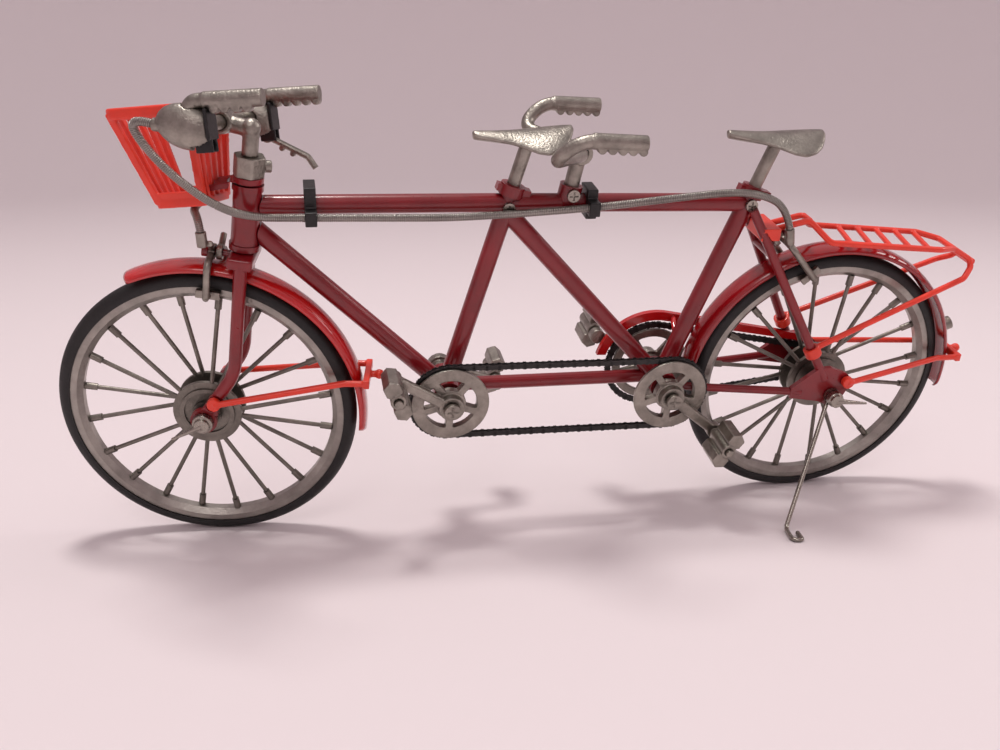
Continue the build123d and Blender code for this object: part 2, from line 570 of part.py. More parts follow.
nodes["stem_clamp"] = (hexagon - rod(head(16), head(21), AXLE_R)).rotate(Axis(HEAD_BOTTOM, AXIS_DIR), BAR_TURN)
clamp_screw = HEAD * Pos(3.03 + 0.75, 0, 18.4) * Rot(0, 90, 0) * Cylinder(1.3, 1.5)
nodes["stem_clamp"] = nodes["stem_clamp"] + clamp_screw.rotate(Axis(HEAD_BOTTOM, AXIS_DIR), BAR_TURN + 30)
stoker_clamp = ydisc(-67.6, 59.9, 2.4, -2.2, 2.2)
stoker_cut = ydisc(-67.6, 59.9, BAR_R, -9, 9)
stoker_post = rod(along(STEM_FOOT, stem_dir, 1.05), STEM_TOP, STOKER_STEM_R)
nodes["stoker_stem"] = main((stoker_post + stoker_clamp) - stoker_bar)

# ================= basket =================
B_TOP = (-162.1, -145.9, 9.2, 70.2)
B_LOW = (-156.2, -146.9, 5.9, 51.7)


def slab(low, high):
    faces = []
    for x0, x1, y0, y1, z in (low, high):
        faces.append(make_face(Polyline((x0, y0, z), (x1, y0, z), (x1, y1, z), (x0, y1, z), close=True)))
    return loft(faces, ruled=True)


rim_out = Pos((B_TOP[0] + B_TOP[1]) / 2, 0, B_TOP[3]) * extrude(
    RectangleRounded(B_TOP[1] - B_TOP[0] + 2.2, 2 * B_TOP[2] + 2.2, 2.4), 1.2, both=True)
rim_in = Pos((B_TOP[0] + B_TOP[1]) / 2, 0, B_TOP[3]) * extrude(
    RectangleRounded(B_TOP[1] - B_TOP[0] - 1.4, 2 * B_TOP[2] - 1.4, 1.2), 2.4, both=True)
rim_bar = rim_out - rim_in
rim_bar = fillet(rim_bar.edges().group_by(Axis.Z)[-1] + rim_bar.edges().group_by(Axis.Z)[0], 0.5)
floor_plate = Pos((B_LOW[0] + B_LOW[1]) / 2, 0, B_LOW[3]) * extrude(
    RectangleRounded(B_LOW[1] - B_LOW[0] + 1.6, 2 * B_LOW[2] + 1.6, 1.4), 0.8, both=True)
basket = rim_bar + floor_plate
SLAT_PLACES = (-0.6, -0.2, 0.2, 0.6)     # as shares of the half width
SLAT_TOP = 1.7
SLAT_LOW = 1.0
for xt, xb in ((B_TOP[0], B_LOW[0]), (B_TOP[1], B_LOW[1])):
    for share in SLAT_PLACES:
        yt, yb = share * B_TOP[2], share * B_LOW[2]
        ht, hb = SLAT_TOP / 2, SLAT_LOW / 2
        basket = basket + slab((xb - 0.55, xb + 0.55, yb - hb, yb + hb, B_LOW[3]),
                               (xt - 0.55, xt + 0.55, yt - ht, yt + ht, B_TOP[3]))
for side in (-1, 1):
    for xt, xb in ((B_TOP[0], B_LOW[0]), (B_TOP[1], B_LOW[1])):
        basket = basket + slab((xb - 0.8, xb + 0.8, side * B_LOW[2] - 0.7, side * B_LOW[2] + 0.7, B_LOW[3]),
                               (xt - 0.8, xt + 0.8, side * B_TOP[2] - 0.7, side * B_TOP[2] + 0.7, B_TOP[3]))
    basket = basket + slab((B_LOW[0], B_LOW[1], side * B_LOW[2] - 0.55, side * B_LOW[2] + 0.55, B_LOW[3]),
                           (-156.9, -146.8, side * (B_LOW[2] + 0.5) - 0.55, side * (B_LOW[2] + 0.5) + 0.55,
                            B_LOW[3] + 2.4))
basket = turn_bar(basket)
nodes["basket"] = basket
reach = bar_point((-147.3, 0, 54.6))
ring_low, ring_high = head(14.95), head(16.3)
mount = rod(ring_low, ring_high, 3.2)
strip_a, strip_b = V(head(15.62)), V(reach)
strip_dir = (strip_b - strip_a).normalized()
strip = Plane(origin=tuple(strip_a), x_dir=tuple(strip_dir), z_dir=tuple(
    strip_dir.cross(V((0, 1, 0))).normalized() * -1)) * Pos((strip_b - strip_a).length / 2, 0, 0) * Box(
        (strip_b - strip_a).length, 4.6, 1.3)
mount = mount + strip
above = rod(head(16.3), head(30), 8)
below = rod(head(10), head(14.95), 4.2)
nodes["basket_bracket"] = mount - rod(head(10), head(20), AXLE_R) - basket - above - below

# ================= hoods and levers =================
def hood(side):
    y = side * 16.9
    egg = scale(Sphere(1), by=(6.4, 2.9, 4.3)).rotate(Axis.Y, 18).moved(Location((-142.6, y, 66.9)))
    egg = egg & block(-155, -138.4, y - 6, y + 6, 55, 80)
    return egg + rod((-146.5, y, 67.3), (-149.6, y, 67.9), 1.3)


def hood_band(side):
    y = side * 16.9
    plate = block(-138.4, -137.7, y - 2.3, y + 2.3, 64.2, 70.0)
    cheeks = block(-141.2, -137.7, y - 1.4, y - 0.8, 61.9, 65.0) + block(-141.2, -137.7, y + 0.8, y + 1.4, 61.9, 65.0)
    return plate + cheeks + ydisc(-140.0, 63.0, 0.7, y - 1.4, y + 1.4)


hoods = []
mounts = []
for side in (-1, 1):
    band = hood_band(side)
    y = side * 16.9
    hoods.append(main(hood(side) - band - front_bar_flat - ydisc(-140.0, 63.0, 2.2, y - 1.5, y + 1.5)))
    mounts.append(main(band - front_bar_flat))
nodes["brake_hoods"] = turn_bar(Compound(children=hoods))
nodes["lever_mounts"] = turn_bar(Compound(children=mounts))
ly = 16.9
lever = ydisc(-140.0, 63.0, 1.5, ly - 0.7, ly + 0.7)
lever = lever + bent([(-139.6, ly, 62.6), (-131.4, ly, 57.9), (-129.9, ly, 55.3)], 0.72, 1.4)
for t in (0.38, 0.66):
    c = lerp((-139.6, ly, 62.6), (-131.4, ly, 57.9), t)
    lever = lever + rod((c[0] - 0.5, ly - 0.6, c[2] - 0.75), (c[0] - 0.5, ly + 0.6, c[2] - 0.75), 0.6)
nodes["brake_lever_right"] = turn_bar(lever - ydisc(-140.0, 63.0, 0.7 + RUN, ly - 3, ly + 3))

# ================= cables =================
CABLE_R = 0.9
CABLE_Y = -4.15
main_path = [(-127.9, CABLE_Y, 47.7), (-96.0, CABLE_Y, 46.9), (-64.0, CABLE_Y, 48.5), (-45.0, CABLE_Y - 0.05, 50.4),
             (-32.0, CABLE_Y, 51.6), (-24.0, CABLE_Y - 0.1, 50.2), (-17.9, -4.3, 46.6),
             lerp(REAR_BARREL[0], REAR_BARREL[1], 1.06)]
nodes["rear_brake_cable"] = bent(main_path, CABLE_R)
loop_path = [bar_point((-149.6, -16.9, 67.9)), bar_point((-154.6, -16.6, 69.0)), bar_point((-153.6, -15.4, 65.2)),
             bar_point((-148.6, -12.6, 57.2)), (-144.8, -8.2, 51.9), (-138.2, -5.2, 48.6), (-130.6, CABLE_Y, 47.75),
             (-127.95, CABLE_Y, 47.69)]
rear_loop = bent(loop_path, CABLE_R)
front_path = [bar_point((-149.6, 16.9, 67.9)), bar_point((-154.8, 16.4, 68.2)), bar_point((-154.2, 14.8, 62.0)),
              bar_point((-152.0, 10.0, 50.6)), fork_point((-151.2, 1.6, 47.0)), fork_point((-148.9, -3.2, 46.6)),
              fork_point(lerp(FRONT_BARREL[0], FRONT_BARREL[1], 1.13))]
front_loop = bent(front_path, CABLE_R)
hood_cut = nodes["brake_hoods"]
nodes["brake_cable_loops"] = Compound(children=[main(rear_loop - hood_cut), main(front_loop - hood_cut)])


CLIP_HALF = 1.25


def clip(x, z_tube, z_cable, top):
    body = block(x - CLIP_HALF, x + CLIP_HALF, -2.9, 2.9, z_tube - 2.9, z_tube + top)
    body = body + block(x - CLIP_HALF, x + CLIP_HALF, CABLE_Y - 1.5, -1.0, z_cable - 1.6, z_cable + 1.6)
    return body


clip_front = main(clip(-126.3, 49.1, 47.66, 4.6) - top_a - nodes["rear_brake_cable"])
clip_rear = main(clip(-64.6, 48.2, 48.4, 3.9) - top_b - nodes["rear_brake_cable"])
nodes["cable_clips"] = Compound(children=[clip_front, clip_rear])

# ================= rack =================
ROD_R = 0.75
foot = block(-23.6, -18.9, -5.2, 5.2, 39.5, 42.5)
rack = main(foot - stay_l - stay_r - seat2_solid)
for side in (-1, 1):
    rail = [(-19.2, side * 1.8, 41.2), (-10.6, side * 1.9, 43.2), (-6.2, side * 5.9, 39.0), (23.5, side * 5.9, 36.3),
            (28.6, side * 3.3, 35.4), (35.6, side * 2.9, 31.4), (31.6, side * 6.2, 28.6), (-5.4, side * 9.0, 13.0)]
    rack = rack + bent(rail, ROD_R, 2.2)
    clip_c = stay_point(0.80, side)
    toward = stay_point(0.84, side)
    cuff = rod(clip_c, tuple(V(clip_c) + (V(toward) - V(clip_c)).normalized() * 2.6), 2.0)
    rack = rack + cuff
    rack = rack - (stay_l if side < 0 else stay_r)
for i in range(5):
    x = 0.5 + 5.2 * i
    z = 39.0 - (x + 6.2) * 2.7 / 29.7
    rack = rack + rod((x - 1.2, -5.9, z + 0.1), (x + 1.2, 5.9, z - 0.1), 0.65)
rack = rack + rod((28.6, -3.3, 35.4), (28.6, 3.3, 35.4), 0.7) + rod((-10.4, -1.9, 43.1), (-10.4, 1.9, 43.1), 0.7)
rack = rack + rod((35.2, -2.9, 31.4), (35.2, 2.9, 31.4), 0.9)
nodes["rear_rack"] = main(rack)

# ================= stand =================
tyre_drop = (WHEEL_R - TYRE_HALF) * cos(radians(LEAN)) + TYRE_HALF
WIRE_R = 0.55


def floor_point(x, y):
    z = (WIRE_R - tyre_drop - y * sin(radians(LEAN))) / cos(radians(LEAN))
    return (x, y, z)


stand_y = -11.3
leg = bent([(-0.9, stand_y, -1.5), floor_point(-15.6, -29.4), floor_point(-16.9, -35.6), floor_point(-14.6, -36.2),
            floor_point(-13.9, -32.2)], WIRE_R, 2.5)
eye = yring(0, 0, 2.0, AXLE_R + RUN, stand_y - 0.55, stand_y + 0.55)
nodes["kickstand"] = (eye + leg) - ydisc(0, 0, AXLE_R + RUN, -14, -8)

# ================= set down on the floor =================
placed = {}
for name, shape in nodes.items():
    placed[name] = shape.rotate(Axis.X, LEAN)
boxes = [s.bounding_box() for s in placed.values()]
lo = [min(getattr(b.min, a) for b in boxes) for a in "XYZ"]
hi = [max(getattr(b.max, a) for b in boxes) for a in "XYZ"]
shift = (-(lo[0] + hi[0]) / 2, -(lo[1] + hi[1]) / 2, -lo[2])
for name in ("front_tyre", "rear_tyre", "kickstand"):
    print(name, "lowest", round(placed[name].bounding_box(optimal=True).min.Z - lo[2], 3))
for name, shape in placed.items():
    export_step(shape.moved(Location(shift)), f"parts/{name}.step")
print("shift", [round(c, 4) for c in shift], "size", [round(b - a, 2) for a, b in zip(lo, hi)], len(placed))
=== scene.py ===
import bpy
import bmesh
import json
from math import sin, cos, pi, radians, sqrt, atan2, acos
from mathutils import Vector, Matrix


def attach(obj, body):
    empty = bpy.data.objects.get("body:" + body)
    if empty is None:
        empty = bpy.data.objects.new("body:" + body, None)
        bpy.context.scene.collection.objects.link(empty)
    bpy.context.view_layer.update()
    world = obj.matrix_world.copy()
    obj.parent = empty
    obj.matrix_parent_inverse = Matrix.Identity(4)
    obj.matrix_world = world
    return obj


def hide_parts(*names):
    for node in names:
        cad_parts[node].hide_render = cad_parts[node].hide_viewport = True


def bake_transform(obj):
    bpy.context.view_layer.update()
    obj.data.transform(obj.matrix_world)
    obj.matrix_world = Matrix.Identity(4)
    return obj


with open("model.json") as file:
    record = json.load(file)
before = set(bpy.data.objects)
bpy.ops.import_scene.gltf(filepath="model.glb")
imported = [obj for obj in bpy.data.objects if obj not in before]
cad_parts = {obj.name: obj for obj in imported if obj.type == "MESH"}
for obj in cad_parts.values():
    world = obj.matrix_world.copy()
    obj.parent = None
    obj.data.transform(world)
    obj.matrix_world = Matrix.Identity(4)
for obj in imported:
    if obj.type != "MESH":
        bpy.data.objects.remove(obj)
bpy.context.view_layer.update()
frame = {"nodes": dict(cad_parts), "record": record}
nodes = frame["nodes"]
record = frame["record"]
BODY_OF = {n: b for b, ns in record["behaviour"]["bodies"].items() for n in ns}
JOINT = {j["name"]: j for j in record["behaviour"]["joints"]}
SLOT_OF = {s["node"]: s["material_slot"] for s in record["subparts"]}

# ================= the bicycle's own upright axes, from its rear wheel =================
# Lengths below are in mm and angles in degrees, unless they say otherwise.
MM = 0.001
AXLE = Vector(JOINT["rear_wheel_spin"]["pos_m"])
BY = Vector(JOINT["rear_wheel_spin"]["axis"]).normalized()
BX = Vector((1, 0, 0))
BZ = BX.cross(BY).normalized()
BIKE = Matrix((BX, BY, BZ)).transposed().to_4x4()
BIKE.translation = AXLE
BIKE_INV = BIKE.inverted()


def local(point_m):
    """A frame point in metres, in the bicycle's own upright axes in mm."""
    return (BIKE_INV @ Vector(point_m)) / MM


def at(p):
    """A point of the upright bicycle in mm, as it stands in the frame, in metres."""
    return BIKE @ (Vector(p) * MM)


def turn(p, origin, axis, degrees):
    return Matrix.Rotation(radians(degrees), 3, Vector(axis)) @ (Vector(p) - Vector(origin)) + Vector(origin)


STEER_AT = local(JOINT["steering"]["pos_m"])
STEER_AXIS = (BIKE_INV.to_3x3() @ Vector(JOINT["steering"]["axis"])).normalized()
FORK_TURN = -9.3
BAR_TURN = -20.0
BAR_DIP = -8.65
BAR_ROLL = -9.9
BAR_PIVOT = (-139.0, 0, 60.0)


def fork(p):
    """A point of the straight fork, with the fork turned as it rests."""
    return turn(p, STEER_AT, STEER_AXIS, FORK_TURN)


def bar(p):
    """A point of the straight handlebar, with the bar turned and tipped as it rests."""
    p = turn(p, BAR_PIVOT, (0, 1, 0), BAR_DIP)
    p = turn(p, BAR_PIVOT, (1, 0, 0), BAR_ROLL)
    return turn(p, BAR_PIVOT, STEER_AXIS, BAR_TURN)


def same(p):
    return Vector(p)


# ================= materials =================
COAT_ROUGHNESS = 0.06
SUBSURFACE_SCALE_M = 0.0015
BUMP_DEPTH_M = 0.0003
# painted shade in corners: how far the occlusion reaches, its samples, and how dark the colour gets
SHADE_REACH_M = 0.002
SHADE_SAMPLES = 4
SHADE_FROM, SHADE_TO, SHADE_DARKEST = 0.25, 0.85, 0.55
PATCH_LOW, PATCH_HIGH = 0.3, 0.72
PATCH_DETAIL, PATCH_ROUGHNESS = 6, 0.6
GRAIN_DETAIL = 4
SMOOTHEST = 0.02


def shader(name, color, rough, metal=0.0, coat=0.0, vary=0.15, rough_vary=0.1, bump=0.1, grain=900.0,
           patch=120.0, subsurface=0.0):
    """A surface whose colour varies in patches, with a fine grain and painted shade darkening its corners."""
    m = bpy.data.materials.new(name)
    m.use_nodes = True
    tree = m.node_tree
    link = tree.links.new

    def add(kind, values=None):
        node = tree.nodes.new(kind)
        for socket, value in (values or {}).items():
            node.inputs[socket].default_value = value
        return node

    surface = tree.nodes["Principled BSDF"]
    surface.inputs["Metallic"].default_value = metal
    surface.inputs["Coat Weight"].default_value = coat
    surface.inputs["Coat Roughness"].default_value = COAT_ROUGHNESS
    if subsurface:
        surface.inputs["Subsurface Weight"].default_value = subsurface
        surface.inputs["Subsurface Scale"].default_value = SUBSURFACE_SCALE_M
    place = add("ShaderNodeTexCoord")
    patches = add("ShaderNodeTexNoise",
                  {"Scale": patch, "Detail": PATCH_DETAIL, "Roughness": PATCH_ROUGHNESS})
    fine = add("ShaderNodeTexNoise", {"Scale": grain, "Detail": GRAIN_DETAIL})
    link(place.outputs["Object"], patches.inputs["Vector"])
    link(place.outputs["Object"], fine.inputs["Vector"])
    ramp = add("ShaderNodeValToRGB")
    low, high = ramp.color_ramp.elements
    low.position, high.position = PATCH_LOW, PATCH_HIGH
    low.color = (*(c * (1 - vary) for c in color), 1)
    high.color = (*(min(1, c * (1 + vary)) for c in color), 1)
    link(patches.outputs["Fac"], ramp.inputs["Fac"])
    # painted shade: the colour is darkened by ambient occlusion where corners shut out light
    corners = add("ShaderNodeAmbientOcclusion", {"Distance": SHADE_REACH_M})
    corners.samples = SHADE_SAMPLES
    painted_shade = add("ShaderNodeMix")
    painted_shade.data_type = "RGBA"
    painted_shade.blend_type = "MULTIPLY"
    painted_shade.inputs["Factor"].default_value = 1.0
    shade_amount = add("ShaderNodeMapRange", {"From Min": SHADE_FROM, "From Max": SHADE_TO, "To Min": SHADE_DARKEST})
    link(corners.outputs["AO"], shade_amount.inputs["Value"])
    link(ramp.outputs["Color"], painted_shade.inputs["A"])
    link(shade_amount.outputs["Result"], painted_shade.inputs["B"])
    link(painted_shade.outputs["Result"], surface.inputs["Base Color"])
    gloss = add("ShaderNodeMapRange", {"To Min": max(SMOOTHEST, rough - rough_vary),
                                       "To Max": min(1.0, rough + rough_vary)})
    link(fine.outputs["Fac"], gloss.inputs["Value"])
    link(gloss.outputs["Result"], surface.inputs["Roughness"])
    relief = add("ShaderNodeBump", {"Strength": bump, "Distance": BUMP_DEPTH_M})
    link(fine.outputs["Fac"], relief.inputs["Height"])
    link(relief.outputs["Normal"], surface.inputs["Normal"])
    return m


FRAME_RED = shader("frame_lacquer", (0.210, 0.0016, 0.0060), 0.30, 0.0, 0.45, 0.25, 0.06, 0.05, 1400,
                   patch=90)
# painted light and shade: one fender enamel in two copies, the front one painted lighter as if lit and the
# rear one darker as if shaded
LIT_FENDER_RED = shader("fender_enamel", (0.52, 0.005, 0.006), 0.22, 0.0, 0.9, 0.14, 0.05, 0.04, 900, patch=70)
SHADED_REAR_FENDER_RED = shader("shaded_rear_fender_enamel", (0.30, 0.0025, 0.006), 0.2, 0.0, 0.8, 0.16, 0.05, 0.04, 900, patch=70)
BRACKET_RED = shader("bracket_red", (0.26, 0.004, 0.010), 0.38, 0.0, 0.3, 0.2, 0.08, 0.12, 1500)
ORANGE = shader("orange_plastic", (0.82, 0.045, 0.020), 0.36, 0.0, 0.2, 0.12, 0.08, 0.07, 1100,
                subsurface=0.12)
PEWTER = shader("pewter_casting", (0.31, 0.288, 0.252), 0.36, 1.0, 0.0, 0.30, 0.12, 0.45, 1900, patch=260)
RIM_METAL = shader("rim_casting", (0.34, 0.32, 0.29), 0.34, 1.0, 0.0, 0.22, 0.1, 0.3, 1700, patch=200)
SPOKE_METAL = shader("wheel_casting", (0.21, 0.195, 0.17), 0.42, 1.0, 0.0, 0.28, 0.1, 0.35, 1900, patch=240)
STEEL = shader("bright_steel", (0.34, 0.315, 0.275), 0.27, 1.0, 0.0, 0.16, 0.08, 0.15, 2200)
RUBBER = shader("tyre_rubber", (0.0055, 0.0050, 0.0052), 0.55, 0.0, 0.0, 0.35, 0.12, 0.2, 1500)
BLACK = shader("black_plastic", (0.0060, 0.0055, 0.0056), 0.42, 0.0, 0.0, 0.3, 0.1, 0.1, 1500)
CHAIN_BLACK = shader("chain_black", (0.010, 0.0085, 0.0080), 0.38, 0.0, 0.0, 0.35, 0.12, 0.2, 2000)
CABLE = shader("wound_wire", (0.38, 0.36, 0.33), 0.30, 1.0, 0.0, 0.2, 0.08, 0.1, 2500)
BY_SLOT = {"frame_red": FRAME_RED, "fender_red": LIT_FENDER_RED, "bracket_red": BRACKET_RED,
           "orange_plastic": ORANGE, "pewter": PEWTER, "steel": STEEL, "tyre": RUBBER, "black_plastic": BLACK,
           "cable": CABLE}
BY_ENDING = {"_rim": RIM_METAL, "_hub": SPOKE_METAL}
for name, obj in nodes.items():
    material = BY_ENDING.get(name[-4:], BY_SLOT[SLOT_OF[name]])
    if not obj.material_slots:
        obj.data.materials.append(material)
    for slot in obj.material_slots:
        slot.material = material


# ================= mesh helpers =================
SMOOTH_FACTOR = 0.5


def shade_smooth(mesh):
    mesh.polygons.foreach_set("use_smooth", [True] * len(mesh.polygons))


def to_mesh(name, bm, material):
    mesh = bpy.data.meshes.new(name)
    bm.to_mesh(mesh)
    bm.free()
    mesh.materials.append(material)
    return mesh


def new_object(name, data):
    o = bpy.data.objects.new(name, data)
    bpy.context.scene.collection.objects.link(o)
    return o


def piece(name, bm, material, body, *replaced, smooth=True):
    mesh = to_mesh(name, bm, material)
    if smooth:
        shade_smooth(mesh)
    o = new_object(name, mesh)
    if body:
        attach(o, body)
    if replaced:
        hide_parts(*replaced)
    return o


def evaluated_mesh(o):
    depsgraph = bpy.context.evaluated_depsgraph_get()
    depsgraph.update()
    return bpy.data.meshes.new_from_object(o.evaluated_get(depsgraph))


def apply(o):
    """Puts the object's modifiers into its mesh."""
    mesh = evaluated_mesh(o)
    old = o.data
    o.modifiers.clear()
    o.data = mesh
    bpy.data.meshes.remove(old)


def soften(node, voxel, rounds):
    """The node's own shape with the rounded edges of a casting or moulding."""
    src = nodes[node]
    o = new_object("soft_" + node, src.data.copy())
    o.matrix_world = src.matrix_world
    remesh = o.modifiers.new("remesh", "REMESH")
    remesh.mode = "VOXEL"
    remesh.voxel_size = voxel * MM
    smooth = o.modifiers.new("smooth", "SMOOTH")
    smooth.factor = SMOOTH_FACTOR
    smooth.iterations = rounds
    apply(o)
    o.data.materials.clear()
    o.data.materials.append(BY_SLOT[SLOT_OF[node]])
    shade_smooth(o.data)
    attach(o, BODY_OF[node])
    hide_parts(node)


def ring_verts(bm, centre, x_dir, y_dir, radius, n):
    return [bm.verts.new(centre + x_dir * radius * cos(2 * pi * i / n) + y_dir * radius * sin(2 * pi * i / n))
            for i in range(n)]


def skin(bm, rings):
    """Faces between each ring of vertices and the next."""
    for a, b in zip(rings, rings[1:]):
        for i in range(len(a)):
            j = (i + 1) % len(a)
            bm.faces.new((a[i], a[j], b[j], b[i]))


def close_shell(bm, rings):
    """Closes both ends of a folded section, from its outer side across to its inner side."""
    for ring in (rings[0], rings[-1]):
        for k in range(len(ring) // 2 - 1):
            bm.faces.new((ring[k], ring[k + 1], ring[-k - 2], ring[-k - 1]))


def out_normals(bm):
    bmesh.ops.recalc_face_normals(bm, faces=bm.faces)


# ================= lines and tubes =================
START_UP = (0.13, 0.2, 0.97)
LINE_STEP = 0.25
SPLINE_RESOLUTION = 24


def frames(points):
    """Each point with two normals, carried along the line without twist."""
    out = []
    up = Vector(START_UP)
    for i, p in enumerate(points):
        t = (points[min(i + 1, len(points) - 1)] - points[max(i - 1, 0)]).normalized()
        side = t.cross(up).normalized()
        up = side.cross(t).normalized()
        out.append((p, side, up.copy()))
    return out


def tube(bm, points, radius, sides):
    rings = [ring_verts(bm, p, a, b, radius, sides) for p, a, b in frames(points)]
    skin(bm, rings)
    bm.faces.new(list(reversed(rings[0])))
    bm.faces.new(rings[-1])


def smooth_line(route):
    """A smooth NURBS line through the bends of a route, read back as close points in metres."""
    curve = bpy.data.curves.new("route", "CURVE")
    curve.dimensions = "3D"
    spline = curve.splines.new("NURBS")
    spline.points.add(len(route) - 1)
    for q, p in zip(spline.points, route):
        q.co = (*p, 1)
    spline.order_u = 3
    spline.use_endpoint_u = True
    curve.resolution_u = SPLINE_RESOLUTION
    o = new_object("route", curve)
    mesh = evaluated_mesh(o)
    pts = [v.co.copy() for v in mesh.vertices]
    bpy.data.objects.remove(o)
    bpy.data.curves.remove(curve)
    bpy.data.meshes.remove(mesh)
    even = [pts[0]]
    step = LINE_STEP * MM
    for a, b in zip(pts, pts[1:]):
        while (b - even[-1]).length > step and (b - a).length > 0:
            even.append(even[-1] + (b - even[-1]).normalized() * step)
    even.append(pts[-1])
    return even


# ================= cables: wire wound on a core =================
CORE_R = 0.72
WIRE_R = 0.17
WOUND_R = 0.74
WIRE_PITCH = 0.40
CORE_SIDES, WIRE_SIDES, STEPS_PER_TURN = 10, 6, 10


def wound_cable(bm, line):
    tube(bm, line, CORE_R * MM, CORE_SIDES)
    pitch = WIRE_PITCH * MM
    total = 0.0
    pts = []
    stations = frames(line)
    for (p0, a0, b0), (p1, a1, b1) in zip(stations, stations[1:]):
        seg = (p1 - p0).length
        steps = max(1, round(seg / pitch * STEPS_PER_TURN))
        for k in range(steps):
            f = k / steps
            ang = 2 * pi * (total + seg * f) / pitch
            outward = a0.lerp(a1, f) * cos(ang) + b0.lerp(b1, f) * sin(ang)
            pts.append(p0.lerp(p1, f) + outward * WOUND_R * MM)
        total += seg
    tube(bm, pts, WIRE_R * MM, WIRE_SIDES)


def split_at(line, point):
    k = min(range(len(line)), key=lambda i: (line[i] - point).length)
    return line[:k + 1], line[k:]


def wound_piece(name, line, body_a, body_b, *replaced):
    """A length of wound cable, baked into place and left on no body."""
    bm = bmesh.new()
    wound_cable(bm, line)
    o = piece(name, bm, CABLE, None, *replaced)
    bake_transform(o)


CABLE_Y = -4.15
BARREL_TOP = (-16.6, -4.3, 42.3)
HELD_RUN = [(-128.1, CABLE_Y, 47.7), (-110, CABLE_Y, 47.25), (-96.0, CABLE_Y, 46.9), (-80, CABLE_Y, 47.6),
            (-64.0, CABLE_Y, 48.5), (-45.0, CABLE_Y, 50.4), (-32.0, CABLE_Y, 51.5), (-24.5, CABLE_Y, 50.6),
            (-18.6, -4.3, 47.6), BARREL_TOP]
BESIDE_HEAD_TUBE = Vector((-145.2, -8.6, 52.2))
REAR_LOOP = [bar((-148.6, -16.9, 67.6)), bar((-151.0, -16.9, 68.6)), bar((-154.4, -16.5, 68.6)),
             bar((-153.4, -15.2, 64.6)), bar((-149.6, -12.8, 58.0)), BESIDE_HEAD_TUBE,
             Vector((-138.4, -5.2, 48.5)), Vector((-131.0, CABLE_Y, 47.8)), Vector((-127.6, CABLE_Y, 47.69))]
FRONT_LOOP = [bar((-148.6, 16.9, 67.6)), bar((-151.0, 16.9, 68.4)), bar((-154.6, 16.2, 67.8)),
              bar((-154.0, 14.6, 61.6)), bar((-152.0, 10.0, 51.6)), fork((-151.4, 2.2, 47.6)),
              fork((-149.2, -2.8, 47.0)), fork((-148.75, -3.5, 44.0))]

bm = bmesh.new()
wound_cable(bm, smooth_line([at(p) for p in HELD_RUN]))
piece("rear_cable_wound", bm, CABLE, "frame", "rear_brake_cable")
# the loops cross two joints, from the handlebar past the fork to what they serve; the rear loop is cut in two
# beside the head tube, and the pieces follow no body
hood_part, clip_part = split_at(smooth_line([at(p) for p in REAR_LOOP]), at(BESIDE_HEAD_TUBE))
wound_piece("rear_loop_upper", hood_part, "cockpit", "fork", "brake_cable_loops")
wound_piece("rear_loop_lower", clip_part, "fork", "frame", "brake_cable_loops")
front_line = smooth_line([at(p) for p in FRONT_LOOP])
wound_piece("front_loop", front_line, "cockpit", "fork", "brake_cable_loops")

# ================= chains =================
CHAIN_PITCH = 1.5
EYE_R, WAIST_R = 1.04, 0.62
WAIST_COS = 0.4
OUTER_PLATE, INNER_PLATE = (0.36, 0.53), (0.2, 0.36)
PLATE_SIDES = 20
PIN_R, PIN_HALF, PIN_SIDES = 0.3, 0.55, 10
TIMING_TEETH, DRIVE_TEETH, SPROCKET_TEETH = 38, 46, 18
TIMING_Y, DRIVE_Y = -7.6, 7.6


def on_circle(centre, radius, angle):
    return Vector((centre[0] + radius * cos(angle), centre[1] + radius * sin(angle)))


def loop_path(c1, r1, c2, r2):
    """Points (x, z) of the pins of a chain round two wheels, an even number of them."""
    dx, dz = c2[0] - c1[0], c2[1] - c1[1]
    dist = sqrt(dx * dx + dz * dz)
    heading = atan2(dz, dx)
    tilt = acos((r1 - r2) / dist)
    upper, lower = heading + tilt, heading - tilt
    run = sqrt(dist * dist - (r1 - r2) ** 2)
    arc1 = r1 * (2 * pi - 2 * tilt)
    arc2 = r2 * (2 * tilt)
    length = 2 * run + arc2 + arc1
    count = 2 * round(length / CHAIN_PITCH / 2)
    step = length / count
    pins = []
    for i in range(count):
        s = i * step
        if s < run:
            p = on_circle(c1, r1, upper).lerp(on_circle(c2, r2, upper), s / run)
        elif s < run + arc2:
            p = on_circle(c2, r2, upper - (s - run) / r2)
        elif s < 2 * run + arc2:
            p = on_circle(c2, r2, lower).lerp(on_circle(c1, r1, lower), (s - run - arc2) / run)
        else:
            p = on_circle(c1, r1, lower - (s - 2 * run - arc2) / r1)
        pins.append(p)
    return pins


def plate_outline():
    """Points (along, across) round a link plate, waisted between its two eyes."""
    out = []
    for k in range(PLATE_SIDES):
        a = 2 * pi * k / PLATE_SIDES
        eye = CHAIN_PITCH / 2 if cos(a) >= 0 else -CHAIN_PITCH / 2
        r = EYE_R if abs(cos(a)) > WAIST_COS else WAIST_R
        out.append((eye + r * cos(a), r * sin(a)))
    return out


def block(bm, outlines):
    """A closed block between two matching outlines."""
    rings = [[bm.verts.new(at(p)) for p in outline] for outline in outlines]
    skin(bm, rings)
    for ring in rings:
        bm.faces.new(ring)


